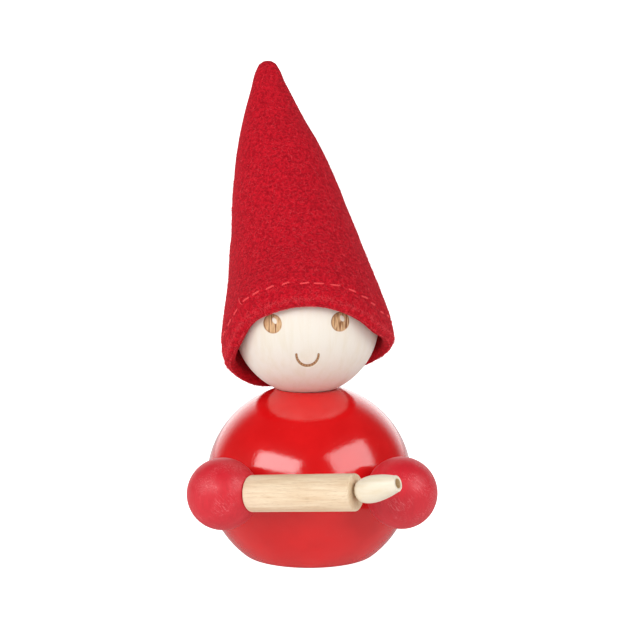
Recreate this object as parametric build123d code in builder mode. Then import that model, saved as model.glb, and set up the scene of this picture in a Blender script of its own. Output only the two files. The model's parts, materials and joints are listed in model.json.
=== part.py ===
from build123d import *
import os

# Tomte gnome figurine: turned wooden balls, a doll's rolling pin and a felt hat.
# Millimetres. +Z is up, the face looks along -Y, and the origin is the middle of the flat base.
# Left and right are those of somebody who looks the gnome in the face: left is -X.
os.makedirs("parts", exist_ok=True)

# ---------------------------------------------------------------- driving dimensions
body_radius = 27.0            # widest half-width of the turned body
body_half_height = 25.4       # it is a little flatter than a ball
body_centre_height = 20.0     # the rest is cut away for the flat base
base_edge_round = 1.0

head_radius = 19.0
head_centre = Vector(-0.8, 0, 61.6)   # drilled by eye, a shade off the middle of the body
cup_gap = 0.25                # between the head and the turned cup that it sits in

neck_dowel_radius = 3.0
neck_dowel_in_body = 10.0
neck_dowel_in_head = 9.0
turning_clearance = 0.05      # round a pin that something turns on
bore_end_gap = 0.8

hand_radius = 9.0
hand_reach = 35.8             # from the body's axis to the middle of a hand
hand_angle = 38.4             # either side of straight ahead
hand_height = 22.25
hand_peg_radius = 2.0
hand_peg_in_hand = 5.0
hand_peg_in_body = 8.0

pin_yaw = 29.0                # the free end swings forward
pin_pitch = 6.4               # and up
roller_radius = 4.55
roller_length = 29.0
roller_edge_round = 0.45
hand_flat = 7.9               # from the middle of the holding hand to the flat cut on it
end_play = 0.15               # at each end of the roller
axle_radius = 0.95
axle_in_hand = 4.9
axle_in_handle = 3.2

handle_yaw = 31.7             # the handle bead was glued on a little crooked
handle_pitch = 17.4
handle_length = 11.2
handle_base_radius = 1.9
handle_belly_radius = 3.27
handle_belly_at = 3.9
handle_tip_radius = 1.75
handle_base_gap = 0.6         # from the roller's end play to the middle of the bead's base
handle_bore_radius = 1.15
handle_bore_depth = 4.0

felt = 1.4                    # one layer
hem_inner_radius = 19.3       # two layers, just clear of the head all the way up
brim_below_head = 7.6         # from the head's centre down the hat's axis to the brim
# Rings of the hat from brim to tip: the step up from the ring below, the outer radius,
# and how far the felt leans back and to the left there, in degrees.
hat_rings = [
    (0.0, 21.4, 34.0, 7.0),
    (3.4, 22.15, 34.0, 7.0),
    (3.2, 22.05, 34.0, 7.0),
    (7.2, 20.7, 33.0, 7.0),
    (8.0, 18.8, 31.5, 7.2),
    (11.0, 16.6, 28.5, 8.0),
    (12.0, 14.3, 24.5, 9.2),
    (12.0, 11.3, 20.5, 9.6),
    (10.0, 7.8, 17.5, 8.0),
    (8.4, 4.8, 15.5, 5.5),
    (4.8, 3.0, 14.5, 3.5),
    (1.2, 2.2, 14.5, 3.5),
    (0.6, 1.1, 14.5, 3.5),
]
hem_ring = 2                  # the ring that the folded-in hem reaches up to
blind_rings = 3               # the closing rings of the tip that the hollow doesn't reach
seam_rings = slice(3, -3)     # the rings that the back seam's thread runs past

thread_radius = 0.32
stitch_length = 2.5
stitch_count = 33
stitch_height = 5.3           # above the brim
seam_stitch_length = 2.2
seam_stitches_per_ring = 3

# ---------------------------------------------------------------- directions and planes
def aimed(yaw, pitch):
    """A direction that starts along +X, swung towards the front by yaw and raised by pitch."""
    return Vector(1, 0, 0).rotate(Axis.Y, -pitch).rotate(Axis.Z, -yaw)


def hand_plane(side):
    """A plane at the middle of a hand, looking level at the body's axis. side is -1 or +1."""
    outward = Vector(0, -1, 0).rotate(Axis.Z, side * hand_angle)
    middle = outward * hand_reach + Vector(0, 0, hand_height)
    return Plane(origin=middle, x_dir=(0, 0, 1), z_dir=outward * -1)


def ring_planes():
    """The hat's rings, each as its plane and its outer radius."""
    rings = []
    centre = None
    for step, radius, back, left in hat_rings:
        up = Vector(0, 0, 1).rotate(Axis.Y, -left).rotate(Axis.X, -back)
        if centre is None:
            centre = head_centre - up * brim_below_head
        centre = centre + up * step
        rings.append((Plane(origin=centre, x_dir=Vector(0, 1, 0).cross(up), z_dir=up), radius))
    return rings


free_hand = hand_plane(1)
holding_hand = hand_plane(-1)
pin_direction = aimed(pin_yaw, pin_pitch)
pin_plane = Plane(origin=holding_hand.origin, x_dir=(0, 0, 1), z_dir=pin_direction)
roller_start = hand_flat + end_play
roller_end = roller_start + roller_length
handle_origin = pin_plane.origin + pin_direction * (roller_end + handle_base_gap)
handle_plane = Plane(origin=handle_origin, x_dir=(0, 0, 1), z_dir=aimed(handle_yaw, handle_pitch))
axle_end = roller_end + handle_base_gap + axle_in_handle
neck_bottom = body_centre_height + body_half_height - neck_dowel_in_body
neck_top = head_centre.Z - head_radius + neck_dowel_in_head
neck_foot = Plane.XY.offset(neck_bottom) * Location((head_centre.X, 0, 0))
hat = ring_planes()
brim_plane = hat[0][0]
hem_depth = sum(step for step, *_ in hat_rings[: hem_ring + 1])

# ---------------------------------------------------------------- body
with BuildPart() as body_ball:
    with BuildSketch(Plane.XZ):
        with Locations((0, body_centre_height)):
            Ellipse(body_radius, body_half_height)
        split(bisect_by=Plane.YZ, keep=Keep.TOP)
        split(bisect_by=Plane.XZ, keep=Keep.BOTTOM)
    revolve(axis=Axis.Z)
    fillet(body_ball.faces().sort_by(Axis.Z)[0].edges(), radius=base_edge_round)
    with Locations(head_centre):
        Sphere(head_radius + cup_gap, mode=Mode.SUBTRACT)
    with BuildSketch(neck_foot):
        Circle(neck_dowel_radius)
    extrude(amount=neck_dowel_in_body, mode=Mode.SUBTRACT)
    for plane in (free_hand, holding_hand):
        with BuildSketch(plane.offset(hand_radius - hand_peg_in_hand)):
            Circle(hand_peg_radius)
        extrude(amount=hand_peg_in_hand + hand_peg_in_body, mode=Mode.SUBTRACT)

with BuildPart() as neck_dowel:
    with BuildSketch(neck_foot):
        Circle(neck_dowel_radius)
    extrude(amount=neck_top - neck_bottom)

with BuildPart() as head_ball:
    with Locations(head_centre):
        Sphere(head_radius)
    with BuildSketch(neck_foot):
        Circle(neck_dowel_radius + turning_clearance)
    extrude(amount=neck_top - neck_bottom + bore_end_gap, mode=Mode.SUBTRACT)

# ---------------------------------------------------------------- hands
with BuildPart() as free_hand_ball:
    with Locations(free_hand.origin):
        Sphere(hand_radius)
    with BuildSketch(free_hand.offset(hand_radius - hand_peg_in_hand)):
        Circle(hand_peg_radius)
    extrude(amount=hand_peg_in_hand, mode=Mode.SUBTRACT)

with BuildPart() as holding_hand_ball:
    with Locations(holding_hand.origin):
        Sphere(hand_radius)
    with BuildSketch(holding_hand.offset(hand_radius - hand_peg_in_hand)):
        Circle(hand_peg_radius)
    extrude(amount=hand_peg_in_hand, mode=Mode.SUBTRACT)
    split(bisect_by=pin_plane.offset(hand_flat), keep=Keep.BOTTOM)
    with BuildSketch(pin_plane.offset(hand_flat - axle_in_hand)):
        Circle(axle_radius)
    extrude(amount=axle_in_hand, mode=Mode.SUBTRACT)

with BuildPart() as free_hand_peg:
    with BuildSketch(free_hand.offset(hand_radius - hand_peg_in_hand)):
        Circle(hand_peg_radius)
    extrude(amount=hand_peg_in_hand + hand_peg_in_body)

with BuildPart() as holding_hand_peg:
    with BuildSketch(holding_hand.offset(hand_radius - hand_peg_in_hand)):
        Circle(hand_peg_radius)
    extrude(amount=hand_peg_in_hand + hand_peg_in_body)

# ---------------------------------------------------------------- rolling pin
with BuildPart() as pin_roller:
    with BuildSketch(pin_plane.offset(roller_start)):
        Circle(roller_radius)
    extrude(amount=roller_length)
    fillet(pin_roller.edges().filter_by(GeomType.CIRCLE), radius=roller_edge_round)
    with BuildSketch(pin_plane.offset(roller_start)):
        Circle(axle_radius + turning_clearance)
    extrude(amount=roller_length, mode=Mode.SUBTRACT)

with BuildPart() as pin_axle:
    with BuildSketch(pin_plane.offset(hand_flat - axle_in_hand)):
        Circle(axle_radius)
    extrude(amount=axle_end - hand_flat + axle_in_hand)

# The bead's half outline lies in a plane that holds its own axis, along local X.
handle_side = Plane(
    origin=handle_plane.origin,
    x_dir=handle_plane.z_dir,
    z_dir=handle_plane.z_dir.cross(handle_plane.x_dir),
)
with BuildPart() as pin_handle:
    with BuildSketch(handle_side):
        with BuildLine():
            Spline(
                (0, handle_base_radius),
                (handle_belly_at, handle_belly_radius),
                (handle_length, handle_tip_radius),
                tangents=[(0.25, 1), (1, -0.3)],
            )
            Polyline(
                (handle_length, handle_tip_radius),
                (handle_length, 0),
                (0, 0),
                (0, handle_base_radius),
            )
        make_face()
    revolve(axis=Axis(handle_plane.origin, handle_plane.z_dir))
    with BuildSketch(handle_plane.offset(handle_length)):
        Circle(handle_bore_radius)
    extrude(amount=-handle_bore_depth, mode=Mode.SUBTRACT)
    with BuildSketch(pin_plane.offset(roller_end)):
        Circle(axle_radius)
    extrude(amount=handle_base_gap + axle_in_handle, mode=Mode.SUBTRACT)

# ---------------------------------------------------------------- hat
with BuildPart() as felt_hat:
    for plane, radius in hat:
        with BuildSketch(plane):
            Circle(radius)
    loft()
    for plane, radius in hat[hem_ring:-blind_rings]:
        with BuildSketch(plane):
            Circle(radius - felt)
    loft(mode=Mode.SUBTRACT)
    with BuildSketch(brim_plane):
        Circle(hem_inner_radius)
    extrude(amount=hem_depth, mode=Mode.SUBTRACT)

stitch_plane = brim_plane.offset(stitch_height)
with BuildPart() as hem_stitching:
    with Locations(stitch_plane):
        with PolarLocations(hat[1][1], stitch_count):
            Cylinder(thread_radius, stitch_length, rotation=(90, 0, 0))

# The cone's side seam runs up the back, sewn on the inside.
seam = hat[seam_rings]
with BuildPart() as back_seam_thread:
    for (plane, radius), (next_plane, next_radius) in zip(seam, seam[1:]):
        foot = plane.origin + plane.y_dir * (radius - felt)
        head = next_plane.origin + next_plane.y_dir * (next_radius - felt)
        for stitch in range(seam_stitches_per_ring):
            share = (stitch + 0.5) / seam_stitches_per_ring
            with Locations(Plane(origin=foot + (head - foot) * share, z_dir=head - foot)):
                Cylinder(thread_radius, seam_stitch_length)

# ---------------------------------------------------------------- files
pieces = {
    "body_ball": body_ball,
    "neck_dowel": neck_dowel,
    "head_ball": head_ball,
    "free_hand_ball": free_hand_ball,
    "holding_hand_ball": holding_hand_ball,
    "free_hand_peg": free_hand_peg,
    "holding_hand_peg": holding_hand_peg,
    "pin_roller": pin_roller,
    "pin_axle": pin_axle,
    "pin_handle": pin_handle,
    "felt_hat": felt_hat,
    "hem_stitching": hem_stitching,
    "back_seam_thread": back_seam_thread,
}
for name, piece in pieces.items():
    piece.part.label = name
    export_step(piece.part, f"parts/{name}.step")

# Where the joints lie, for the record.
print("pin axis from", pin_plane.origin, "along", pin_direction)
print("hat axis along", brim_plane.z_dir)
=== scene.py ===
# %% [markdown]
# # A wooden tomte gnome
# The real figurine is a handful of turned wooden balls, a doll's rolling pin and a hat of red felt.
# The CAD model holds where every piece goes and how it moves. This lesson makes the pieces that are
# seen: lacquered, stained and bare wood, burnt-in eyes, thick felt and its hand-sewn hem.
# Everything is in metres in the CAD model's own frame, so nothing has to be fitted afterwards.

import json
import math
import random

import bmesh
import bpy
import numpy as np
from mathutils import Matrix, Vector, noise


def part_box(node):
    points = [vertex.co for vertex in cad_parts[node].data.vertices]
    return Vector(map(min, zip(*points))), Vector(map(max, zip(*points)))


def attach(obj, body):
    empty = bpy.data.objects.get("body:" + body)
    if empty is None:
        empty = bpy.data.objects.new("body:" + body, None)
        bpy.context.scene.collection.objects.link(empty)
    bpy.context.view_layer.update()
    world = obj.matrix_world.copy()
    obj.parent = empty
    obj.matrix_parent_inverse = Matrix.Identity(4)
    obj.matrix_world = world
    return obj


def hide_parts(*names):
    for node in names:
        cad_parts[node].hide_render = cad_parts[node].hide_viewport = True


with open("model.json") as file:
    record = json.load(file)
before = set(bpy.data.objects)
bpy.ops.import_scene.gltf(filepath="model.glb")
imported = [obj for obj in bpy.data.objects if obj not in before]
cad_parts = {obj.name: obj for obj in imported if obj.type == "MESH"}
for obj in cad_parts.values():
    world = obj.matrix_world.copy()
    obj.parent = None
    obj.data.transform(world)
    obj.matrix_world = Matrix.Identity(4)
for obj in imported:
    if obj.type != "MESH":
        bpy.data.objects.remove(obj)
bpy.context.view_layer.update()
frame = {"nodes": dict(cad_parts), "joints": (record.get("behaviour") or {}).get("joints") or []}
joints = {joint["name"]: joint for joint in frame["joints"]}
print("nodes:", sorted(frame["nodes"]))
print("joints:", sorted(joints))

# %% [markdown]
# The joints already say where the important points are: the head turns about its own middle, the
# rolling pin spins about the line through the middle of the hand that holds it, and the hat comes
# off along its own axis. Reading them here keeps this script in step with the CAD model.

# %% The points and directions that the pieces are built on
MM = 0.001


def middle(node):
    """The middle of a CAD node's box."""
    low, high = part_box(node)
    return (low + high) / 2


head_middle = Vector(joints["head_turn"]["pos_m"])
head_radius = (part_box("head_ball")[1].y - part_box("head_ball")[0].y) / 2
hat_up = Vector(joints["hat_lift"]["axis"]).normalized()
pin_hand = Vector(joints["roller_spin"]["pos_m"])
pin_along = Vector(joints["roller_spin"]["axis"]).normalized()
free_hand = middle("free_hand_ball")
hand_radius = (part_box("free_hand_ball")[1].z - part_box("free_hand_ball")[0].z) / 2
body_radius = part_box("body_ball")[1].x
print("head radius, mm:", round(head_radius / MM, 2), "hand radius, mm:", round(hand_radius / MM, 2))

# %% [markdown]
# Every piece is made the same way: a bmesh is shaped by its operators, becomes a mesh, and rides on
# the body that carries it. One helper does that last part, so each cell below is only about shape.

# %% Helpers for shapes


def facing(origin, along, side=Vector((0, 0, 1))):
    """A matrix that puts a shape's own Z along a direction, with its X as near to side as it can be."""
    z = along.normalized()
    y = z.cross(side).normalized()
    x = y.cross(z)
    turned = Matrix((x, y, z)).transposed().to_4x4()
    return Matrix.Translation(origin) @ turned


def finish_piece(name, bm, body, material, node=None):
    """Turn a bmesh into a smooth piece that rides on a body and may stand for a CAD node."""
    for face in bm.faces:
        face.smooth = True
    mesh = bpy.data.meshes.new(name)
    bm.to_mesh(mesh)
    bm.free()
    mesh.materials.append(material)
    made = bpy.data.objects.new(name, mesh)
    bpy.context.scene.collection.objects.link(made)
    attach(made, body)
    if node:
        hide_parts(node)
    print(name, "faces:", len(mesh.polygons))
    return made


def through(knots, values, at):
    """A smooth curve through the given values, as a bent batten would run through pins."""
    knots, values = np.array(knots, float), np.array(values, float)
    slopes = np.gradient(values, knots, axis=0)
    i = np.clip(np.searchsorted(knots, at) - 1, 0, len(knots) - 2)
    gap = knots[i + 1] - knots[i]
    t = (at - knots[i]) / gap
    return (
        (1 + 2 * t) * (1 - t) ** 2 * values[i]
        + t * (1 - t) ** 2 * gap * slopes[i]
        + t * t * (3 - 2 * t) * values[i + 1]
        + t * t * (t - 1) * gap * slopes[i + 1]
    )


def ease(low, high, value):
    """0 below low, 1 above high, and a smooth step between them."""
    t = min(max((value - low) / (high - low), 0.0), 1.0)
    return t * t * (3 - 2 * t)


# %% [markdown]
# The materials are node trees. A tiny helper adds a node, sets its sockets by name and links
# whatever is itself a socket, so that a tree reads from top to bottom like a recipe. Patterns are
# worked out from Object coordinates: each piece sits at the origin with its place in its mesh, so
# those are the object's own coordinates, and a pattern keeps its real size in millimetres.

# %% Helpers for materials


def plug(tree, socket, value):
    """Link a socket to the output given, or set it to a plain value."""
    if isinstance(value, bpy.types.NodeSocket):
        tree.links.new(value, socket)
    else:
        socket.default_value = value


def fill(tree, node, **sockets):
    """Fill a node's inputs by name, with _ for spaces."""
    for key, value in sockets.items():
        plug(tree, node.inputs[key.replace("_", " ")], value)


def add(tree, kind, settings=None, **sockets):
    """Add a shader node with its settings, and fill its inputs."""
    made = tree.nodes.new("ShaderNode" + kind)
    for key, value in (settings or {}).items():
        setattr(made, key, value)
    fill(tree, made, **sockets)
    return made


def sums(tree, operation, *values, clamp=False):
    """A Math node on numbers or sockets. Returns its output."""
    made = add(tree, "Math", {"operation": operation, "use_clamp": clamp})
    for socket, value in zip(made.inputs, values):
        plug(tree, socket, value)
    return made.outputs[0]


def blend_colours(tree, share, first, second):
    """Mix two colours. Each may be a plain colour or a socket."""
    made = add(tree, "Mix", {"data_type": "RGBA"})
    in_use = [s for s in made.inputs if s.enabled]
    for socket, value in zip(in_use, (share, first, second)):
        plug(tree, socket, (*value, 1.0) if isinstance(value, tuple) else value)
    return next(s for s in made.outputs if s.enabled)


def ramp(tree, value, *stops):
    """A smooth ramp between two stops, each of them (position, brightness)."""
    made = add(tree, "ValToRGB")
    made.color_ramp.interpolation = "EASE"
    for element, (position, level) in zip(made.color_ramp.elements, stops):
        element.position = position
        element.color = (level, level, level, 1)
    tree.links.new(value, made.inputs[0])
    return made.outputs[0]


def new_group(name, inputs, outputs):
    """A shader node group: inputs as (name, kind, start value), outputs as (name, kind)."""
    tree = bpy.data.node_groups.new(name, "ShaderNodeTree")
    for label, kind, start in inputs:
        socket = tree.interface.new_socket(label, in_out="INPUT", socket_type="NodeSocket" + kind)
        if start is not None:
            socket.default_value = start
    for label, kind in outputs:
        tree.interface.new_socket(label, in_out="OUTPUT", socket_type="NodeSocket" + kind)
    return tree, tree.nodes.new("NodeGroupInput"), tree.nodes.new("NodeGroupOutput")


def use_group(tree, group, **sockets):
    """Place a node group in a material."""
    return add(tree, "Group", {"node_tree": group}, **sockets)


def new_material(name):
    """A material with an empty tree, its Principled BSDF and millimetre Object coordinates."""
    material = bpy.data.materials.new(name)
    material.use_nodes = True
    tree = material.node_tree
    tree.nodes.clear()
    shader = add(tree, "BsdfPrincipled")
    output = add(tree, "OutputMaterial")
    tree.links.new(shader.outputs[0], output.inputs[0])
    place = add(tree, "TexCoord").outputs["Object"]
    scaled = add(tree, "VectorMath", {"operation": "SCALE"}, Vector=place, Scale=1 / MM)
    return material, tree, shader, scaled.outputs[0]


# %% [markdown]
# ## Effects that several finishes share
# Wood shows long thin streaks along the grain. The group squeezes noise in two directions so that
# it runs out along the third, and puts out a soft streak value and sharp little pores.

# %% The wood grain group
grain, grain_in, grain_out = new_group(
    "wood_grain",
    [("Vector", "Vector", None), ("Fineness", "Float", 2.0), ("Stretch", "Float", 0.06)],
    [("Streaks", "Float"), ("Pores", "Float")],
)
squeezed = add(grain, "CombineXYZ", X=1.0, Y=1.0, Z=grain_in.outputs["Stretch"])
across = add(
    grain, "VectorMath", {"operation": "MULTIPLY"}, Vector=grain_in.outputs["Vector"]
)
grain.links.new(squeezed.outputs[0], across.inputs[1])
soft_streaks = add(
    grain,
    "TexNoise",
    Vector=across.outputs[0],
    Scale=grain_in.outputs["Fineness"],
    Detail=4.0,
    Roughness=0.6,
    Distortion=0.3,
)
pore_scale = sums(grain, "MULTIPLY", grain_in.outputs["Fineness"], 5.0)
pore_noise = add(
    grain, "TexNoise", Vector=across.outputs[0], Scale=pore_scale, Detail=2.0, Roughness=0.5
)
grain.links.new(soft_streaks.outputs["Fac"], grain_out.inputs["Streaks"])
grain.links.new(
    ramp(grain, pore_noise.outputs["Fac"], (0.56, 0.0), (0.72, 1.0)), grain_out.inputs["Pores"]
)
print("wood_grain nodes:", len(grain.nodes))

# %% [markdown]
# Handled and sanded wood carries short fine scratches that all run roughly one way in a patch. They
# are the thin ridges of a stretched noise, let through only where a large soft noise is high.

# %% The fine scratches group
scratch, scratch_in, scratch_out = new_group(
    "fine_scratches",
    [("Vector", "Vector", None), ("Fineness", "Float", 3.0), ("Cover", "Float", 0.5)],
    [("Scratches", "Float")],
)
turned = add(
    scratch,
    "VectorRotate",
    {"rotation_type": "EULER_XYZ"},
    Vector=scratch_in.outputs["Vector"],
    Rotation=(0.0, math.radians(38), math.radians(12)),
)
drawn_out = add(scratch, "Mapping", Vector=turned.outputs[0], Scale=(3.2, 3.2, 0.35))
hairlines = add(
    scratch,
    "TexNoise",
    Vector=drawn_out.outputs[0],
    Scale=scratch_in.outputs["Fineness"],
    Detail=1.0,
)
ridge = sums(scratch, "ABSOLUTE", sums(scratch, "SUBTRACT", hairlines.outputs["Fac"], 0.5))
line = ramp(scratch, ridge, (0.0, 1.0), (0.045, 0.0))
patches = add(
    scratch, "TexNoise", Vector=scratch_in.outputs["Vector"], Scale=0.22, Detail=1.0
)
threshold = sums(scratch, "SUBTRACT", 1.0, scratch_in.outputs["Cover"])
where = sums(
    scratch,
    "MULTIPLY",
    sums(scratch, "SUBTRACT", patches.outputs["Fac"], threshold),
    6.0,
    clamp=True,
)
scratch.links.new(sums(scratch, "MULTIPLY", line, where), scratch_out.inputs["Scratches"])
print("fine_scratches nodes:", len(scratch.nodes))

# %% [markdown]
# Felt is a mat of curly fibres. The thin contour lines of a distorted noise look just like single
# fibres that lie on the surface, so the group adds three sets of them at different sizes. It also
# puts out the cloudy mottling that pressed wool has.

# %% The felt fibres group
fibre, fibre_in, fibre_out = new_group(
    "felt_fibres",
    [("Vector", "Vector", None), ("Fineness", "Float", 1.0)],
    [("Wisps", "Float"), ("Mottle", "Float"), ("Height", "Float")],
)
wisp_total = None
# Size of the curls, how much they bend, width of a strand, and where in the noise each set starts.
fibre_sets = ((0.9, 1.6, 0.016, 0.0), (1.6, 1.2, 0.024, 31.0), (3.0, 0.8, 0.04, 67.0))
for size, bend, width, seed in fibre_sets:
    start_at = (seed, seed / 2, -seed)
    moved = add(fibre, "Mapping", Vector=fibre_in.outputs["Vector"], Location=start_at)
    curl = add(
        fibre,
        "TexNoise",
        Vector=moved.outputs[0],
        Scale=sums(fibre, "MULTIPLY", fibre_in.outputs["Fineness"], size),
        Detail=2.0,
        Roughness=0.55,
        Distortion=bend,
    )
    off_centre = sums(fibre, "ABSOLUTE", sums(fibre, "SUBTRACT", curl.outputs["Fac"], 0.5))
    strand = ramp(fibre, off_centre, (0.0, 1.0), (width, 0.0))
    broken = add(
        fibre,
        "TexNoise",
        Vector=moved.outputs[0],
        Scale=sums(fibre, "MULTIPLY", fibre_in.outputs["Fineness"], size * 1.7),
        Detail=0.0,
    )
    shown = ramp(fibre, broken.outputs["Fac"], (0.50, 0.0), (0.62, 1.0))
    wisp = sums(fibre, "MULTIPLY", strand, shown)
    wisp_total = wisp if wisp_total is None else sums(fibre, "MAXIMUM", wisp_total, wisp)
clouds = add(
    fibre,
    "TexNoise",
    Vector=fibre_in.outputs["Vector"],
    Scale=sums(fibre, "MULTIPLY", fibre_in.outputs["Fineness"], 1.3),
    Detail=5.0,
    Roughness=0.75,
)
nap = add(
    fibre,
    "TexNoise",
    Vector=fibre_in.outputs["Vector"],
    Scale=sums(fibre, "MULTIPLY", fibre_in.outputs["Fineness"], 3.4),
    Detail=3.0,
    Roughness=0.7,
    Distortion=0.6,
)
fibre.links.new(wisp_total, fibre_out.inputs["Wisps"])
fibre.links.new(clouds.outputs["Fac"], fibre_out.inputs["Mottle"])
fibre.links.new(
    sums(fibre, "ADD", nap.outputs["Fac"], sums(fibre, "MULTIPLY", wisp_total, 0.35)),
    fibre_out.inputs["Height"],
)
print("felt_fibres nodes:", len(fibre.nodes))

# %% [markdown]
# ## The lacquered body
# The body is turned on a lathe, sanded and sprayed with red gloss lacquer. Gloss over wood is a
# coat over a colour: the coat gives the sharp reflections, and a very shallow bump under it keeps
# them from looking like glass. A few specks of dust that settled in the wet lacquer finish it.

# %% Red gloss lacquer
red_lacquer, tree, shader, place = new_material("red_gloss_lacquer")
fill(tree, shader, Coat_Weight=1.0, Coat_Roughness=0.035, Coat_IOR=1.6)
fill(tree, shader, Roughness=0.25, Specular_IOR_Level=0.15)
cloudy = add(tree, "TexNoise", Vector=place, Scale=0.09, Detail=3.0)
depth = ramp(tree, cloudy.outputs["Fac"], (0.35, 0.0), (0.65, 1.0))
lacquer_colour = blend_colours(tree, depth, (0.66, 0.005, 0.006), (0.72, 0.007, 0.008))
dust = add(tree, "TexVoronoi", {"feature": "F1"}, Vector=place, Scale=0.55, Randomness=1.0)
speck = ramp(tree, dust.outputs["Distance"], (0.0, 1.0), (0.035, 0.0))
dusty = blend_colours(tree, sums(tree, "MULTIPLY", speck, 0.5), lacquer_colour, (0.9, 0.55, 0.5))
under = use_group(tree, grain, Vector=place, Fineness=2.4, Stretch=0.12)
skin = add(tree, "TexNoise", Vector=place, Scale=0.8, Detail=2.0)
height = sums(
    tree,
    "ADD",
    sums(tree, "MULTIPLY", under.outputs["Streaks"], 0.5),
    sums(tree, "MULTIPLY", skin.outputs["Fac"], 0.5),
)
height = sums(tree, "ADD", height, sums(tree, "MULTIPLY", speck, 0.6))
wavy = add(tree, "Bump", Height=height, Strength=0.36, Distance=0.00012)
fill(tree, shader, Base_Color=dusty, Normal=wavy.outputs[0], Coat_Normal=wavy.outputs[0])

# %% [markdown]
# The body's outline runs from the middle of the foot out and up the side of an ellipse, over the rim
# and down into the shallow cup that the head sits in. The two sharp corners of the line, at the foot
# and at the rim, are rounded by a vertex bevel, and then a full spin turns it as the lathe did. A
# bevel has to stay smaller than the rows beside it, so the outline leaves a gap around each corner.

# %% Turn the body
body_half_height = 25.4 * MM
body_middle = 20.0 * MM
foot_round = 0.9 * MM
cup_radius = head_radius + 0.06 * MM
rim_height = 44.27 * MM
rim_round = 0.18 * MM
foot_gap, rim_gap = 1.3 * MM, 0.6 * MM
side_steps, cup_steps, turn_steps = 120, 60, 180


def cut(bm, at, normal, **sides):
    """Bisect a whole bmesh with a plane."""
    everything = bm.verts[:] + bm.edges[:] + bm.faces[:]
    bmesh.ops.bisect_plane(bm, geom=everything, dist=1e-7, plane_co=at, plane_no=normal, **sides)


def wire(bm, points):
    """Join points into one open line."""
    made = [bm.verts.new(p) for p in points]
    for first, second in zip(made, made[1:]):
        bm.edges.new((first, second))
    return made


def spin_round(bm, steps):
    """A full turn about Z of everything in the bmesh."""
    bmesh.ops.spin(
        bm,
        geom=bm.verts[:] + bm.edges[:],
        cent=(0, 0, 0),
        axis=(0, 0, 1),
        angle=math.tau,
        steps=steps,
        use_merge=True,
    )
    bmesh.ops.remove_doubles(bm, verts=bm.verts[:], dist=1e-6)
    bmesh.ops.recalc_face_normals(bm, faces=bm.faces[:])


def on_ellipse(angle):
    """A point of the body's side, with the angle measured up from its widest place."""
    height = body_middle + body_half_height * math.sin(angle)
    return Vector((body_radius * math.cos(angle), 0, height))


foot_angle = math.asin(-body_middle / body_half_height)
rim_angle = math.asin((rim_height - body_middle) / body_half_height)
foot_corner, rim_corner = on_ellipse(foot_angle), on_ellipse(rim_angle)
print("rim of the cup, radius in mm:", round(rim_corner.x / MM, 2))

side_points = []
for step in range(side_steps + 1):
    point = on_ellipse(foot_angle + (rim_angle - foot_angle) * step / side_steps)
    if (point - foot_corner).length > foot_gap and (point - rim_corner).length > rim_gap:
        side_points.append(point)
cup_angle = math.asin(rim_corner.x / cup_radius)
cup_lift = rim_height + cup_radius * math.cos(cup_angle)
cup_points = []
for step in range(4, cup_steps + 1):
    angle = cup_angle * (1 - step / cup_steps)
    depth = cup_lift - cup_radius * math.cos(angle)
    cup_points.append(Vector((cup_radius * math.sin(angle), 0, depth)))
foot_points = [Vector((foot_corner.x * share, 0, 0)) for share in (0, 0.3, 0.6, 0.85)]

shell = bmesh.new()
line = wire(shell, foot_points + [foot_corner] + side_points + [rim_corner] + cup_points)
foot_at = len(foot_points)
rim_at = foot_at + 1 + len(side_points)
for corner, size in ((line[foot_at], foot_round), (line[rim_at], rim_round)):
    bmesh.ops.bevel(
        shell,
        geom=[corner],
        offset=size,
        offset_type="OFFSET",
        segments=6,
        profile=0.5,
        affect="VERTICES",
        material=-1,
    )
spin_round(shell, turn_steps)

# %% [markdown]
# The cup was drilled a shade off centre. The top of the turned shape is eased sideways to meet it,
# and put back on the ellipse's surface, so the round side doesn't change.

# %% Ease the cup off centre
shoulder = 18 * MM
for vert in shell.verts:
    out = math.hypot(vert.co.x, vert.co.y)
    if vert.co.z > body_middle and out < shoulder:
        vert.co.x += head_middle.x * (1 - ease(rim_corner.x + 0.4 * MM, shoulder, out))
        if out > rim_corner.x + 0.5 * MM:
            spread = (vert.co.x**2 + vert.co.y**2) / body_radius**2
            vert.co.z = body_middle + body_half_height * math.sqrt(1 - spread)
finish_piece("lacquered_body", shell, "figure", red_lacquer, "body_ball")

# %% [markdown]
# ## The head
# The head is a pale birch ball. Its eyes and mouth are burnt in by a laser that shines from straight
# ahead, so their outlines are flat drawings laid on the ball: two discs, each with an unburnt fleck
# of light, and a half-ring smile. The beam eats the soft wood between the grain lines first, which
# leaves fine upright ridges. The drawing is written once, as numbers, and used twice: to carve the
# mesh and to darken the wood.

# %% The drawing on the face
eyes = [
    # across and up from the head's middle, half-width and half-height
    (-8.94 * MM, 1.75 * MM, 2.36 * MM, 2.50 * MM),
    (8.20 * MM, 2.25 * MM, 2.40 * MM, 2.53 * MM),
]
fleck_offset = (0.50 * MM, 0.80 * MM)
fleck_half = (0.52 * MM, 0.85 * MM)
fleck_tilt = math.radians(28)
mouth_middle = (-0.12 * MM, -5.95 * MM)
mouth_radius = (2.80 * MM, 3.05 * MM)
mouth_half_stroke = 0.40 * MM
mouth_dashes = 26
# The eyes' rims are painted darker towards this side, the upper left, as shade inside the sunk discs.
shaded_rim_side = math.radians(140)


def eye_distance(x, z, eye):
    """0 at an eye's middle and 1 on its outline."""
    return math.hypot((x - eye[0]) / eye[2], (z - eye[1]) / eye[3])


def fleck_distance(x, z, eye):
    """0 at the middle of the eye's unburnt fleck and 1 on its outline."""
    dx = x - eye[0] - fleck_offset[0]
    dz = z - eye[1] - fleck_offset[1]
    across = dx * math.cos(fleck_tilt) + dz * math.sin(fleck_tilt)
    along = -dx * math.sin(fleck_tilt) + dz * math.cos(fleck_tilt)
    return math.hypot(across / fleck_half[0], along / fleck_half[1])


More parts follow.
